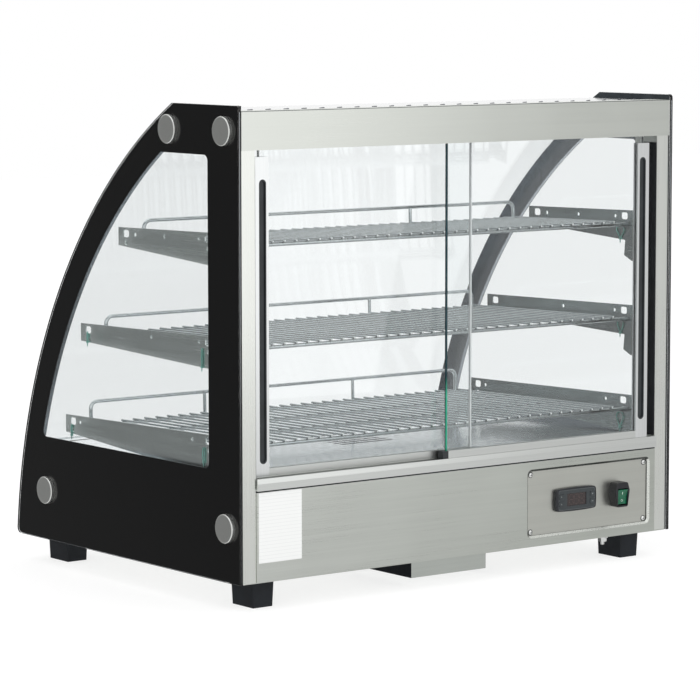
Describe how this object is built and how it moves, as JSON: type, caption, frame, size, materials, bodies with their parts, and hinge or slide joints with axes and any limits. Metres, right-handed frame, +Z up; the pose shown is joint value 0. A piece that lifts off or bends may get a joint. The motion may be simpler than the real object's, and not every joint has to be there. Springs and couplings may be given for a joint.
{
  "type": "countertop display cabinet",
  "caption": "Countertop cake display with a bowed glass front, tilted wire shelves, sliding glass rear doors and a digital controller in a stainless base.",
  "frame": {"origin": "centre of the bounding box in X and Y, on the surface that the four feet stand on", "axes": "+X along the counter, +Y towards the attendant's side with the sliding doors and controls, +Z up; the bowed glass front faces -Y"},
  "size_m": [0.734, 0.5343, 0.632],
  "materials": {
    "brushed_stainless": "fine brushed stainless steel, the grain along the length of each sheet",
    "clear_glass": "clear toughened glass with a faint blue-green cast at the edges",
    "satin_aluminium": "satin anodised extrusion",
    "black_plastic": "fine-textured black moulding",
    "bright_steel": "polished or bright-plated steel",
    "black_print": "opaque blue-black enamel printed on glass",
    "clear_silicone": "grey silicone seal",
    "smoked_window": "smoked window over a numeric display",
    "green_rocker": "translucent green moulding",
    "black_rubber": "black moulded foot",
    "lamp_glass": "frosted lamp tube",
    "heater_sheath": "heat-darkened steel sheath"
  },
  "bodies": {
    "cabinet": {"base_pan": "brushed_stainless", "base_sides": "brushed_stainless", "front_apron": "brushed_stainless", "front_glass": "clear_glass", "front_glass_seals": "clear_silicone", "deck": "brushed_stainless", "rear_posts": "brushed_stainless", "base_rear_panel": "brushed_stainless", "control_plate": "brushed_stainless", "control_plate_screws": "bright_steel", "controller_case": "black_plastic", "controller_window": "smoked_window", "switch_housing": "black_plastic", "lower_track": "satin_aluminium", "upper_track": "satin_aluminium", "header": "brushed_stainless", "top_panel": "brushed_stainless", "top_end_plates": "brushed_stainless", "side_glass_left": "clear_glass", "side_glass_right": "clear_glass", "side_borders": "black_print", "panel_caps": "bright_steel", "panel_studs": "bright_steel", "shelf_uprights": "brushed_stainless", "brackets_top": "brushed_stainless", "brackets_middle": "brushed_stainless", "brackets_bottom": "brushed_stainless", "bracket_screws": "bright_steel", "feet": "black_rubber", "tray_rails": "brushed_stainless", "lamp_housing": "brushed_stainless", "lamp_tube": "lamp_glass", "fan_frame": "black_plastic", "heater_element": "heater_sheath", "heater_brackets": "brushed_stainless", "cable_gland": "black_plastic", "terminal_block": "black_plastic"},
    "door_outer": {"door_outer_glass": "clear_glass", "door_outer_handle": "satin_aluminium", "door_outer_grip": "black_plastic", "door_outer_rail": "satin_aluminium", "door_outer_glides": "black_plastic"},
    "door_inner": {"door_inner_glass": "clear_glass", "door_inner_handle": "satin_aluminium", "door_inner_grip": "black_plastic", "door_inner_rail": "satin_aluminium", "door_inner_glides": "black_plastic"},
    "rocker": {"switch_rocker": "green_rocker"},
    "fan_wheel": {"fan_rotor": "black_plastic"},
    "tray": {"drip_tray": "brushed_stainless"},
    "shelf_top_rack": {"shelf_top": "bright_steel", "shelf_guard_top": "bright_steel"},
    "shelf_middle_rack": {"shelf_middle": "bright_steel", "shelf_guard_middle": "bright_steel"},
    "shelf_bottom_rack": {"shelf_bottom": "bright_steel", "shelf_guard_bottom": "bright_steel"},
    "key_1": {"controller_button_1": "black_plastic"},
    "key_2": {"controller_button_2": "black_plastic"},
    "key_3": {"controller_button_3": "black_plastic"},
    "key_4": {"controller_button_4": "black_plastic"}
  },
  "joints": [
    {"name": "door_outer_slide", "type": "slide", "parent": "cabinet", "child": "door_outer", "axis": [1, 0, 0], "range_m": [-0.0125, 0.297]},
    {"name": "door_inner_slide", "type": "slide", "parent": "cabinet", "child": "door_inner", "axis": [1, 0, 0], "range_m": [-0.297, 0.0085]},
    {"name": "tray_slide", "type": "slide", "parent": "cabinet", "child": "tray", "axis": [0, 1, 0], "range_m": [0, 0.105]},
    {"name": "shelf_top_lift", "type": "slide", "parent": "cabinet", "child": "shelf_top_rack", "axis": [0, 0, 1], "range_m": [0, 0.02]},
    {"name": "shelf_middle_lift", "type": "slide", "parent": "cabinet", "child": "shelf_middle_rack", "axis": [0, 0, 1], "range_m": [0, 0.02]},
    {"name": "shelf_bottom_lift", "type": "slide", "parent": "cabinet", "child": "shelf_bottom_rack", "axis": [0, 0, 1], "range_m": [0, 0.02]},
    {"name": "key_1_press", "type": "slide", "parent": "cabinet", "child": "key_1", "axis": [0, -1, 0], "range_m": [0, 0.0006], "stiffness_N_per_m": 500},
    {"name": "key_2_press", "type": "slide", "parent": "cabinet", "child": "key_2", "axis": [0, -1, 0], "range_m": [0, 0.0006], "stiffness_N_per_m": 500},
    {"name": "key_3_press", "type": "slide", "parent": "cabinet", "child": "key_3", "axis": [0, -1, 0], "range_m": [0, 0.0006], "stiffness_N_per_m": 500},
    {"name": "key_4_press", "type": "slide", "parent": "cabinet", "child": "key_4", "axis": [0, -1, 0], "range_m": [0, 0.0006], "stiffness_N_per_m": 500},
    {"name": "rocker_turn", "type": "hinge", "parent": "cabinet", "child": "rocker", "pos_m": [-0.267, 0.26205, 0.0908], "axis": [1, 0, 0], "range_deg": [0, 16]},
    {"name": "fan_spin", "type": "hinge", "parent": "cabinet", "child": "fan_wheel", "pos_m": [0, 0.00085, 0.146], "axis": [0, 0, 1], "continuous": true}
  ]
}
